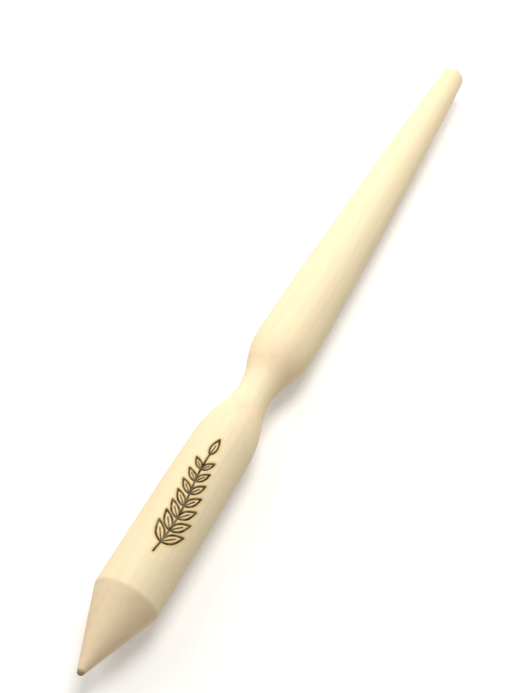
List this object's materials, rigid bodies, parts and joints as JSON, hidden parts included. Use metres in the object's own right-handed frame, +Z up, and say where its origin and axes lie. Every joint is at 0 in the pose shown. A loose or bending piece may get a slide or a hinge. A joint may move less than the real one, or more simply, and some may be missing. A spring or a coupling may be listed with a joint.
{
  "type": "pricking-out stick",
  "caption": "Turned wooden stick for pricking out seedlings: a short sharp point, a round handle, a narrow waist and a long blade that tapers to a rounded tip.",
  "frame": {"origin": "on the surface that the stick lies on, under the middle of its length", "axes": "+X along the stick towards the blade's tip, Y across it, +Z up"},
  "size_m": [0.2, 0.0144, 0.0145],
  "materials": {
    "pale_wood": "untreated, finely sanded"
  },
  "bodies": {
    "root": {"turned_stick": "pale_wood"}
  },
  "joints": []
}
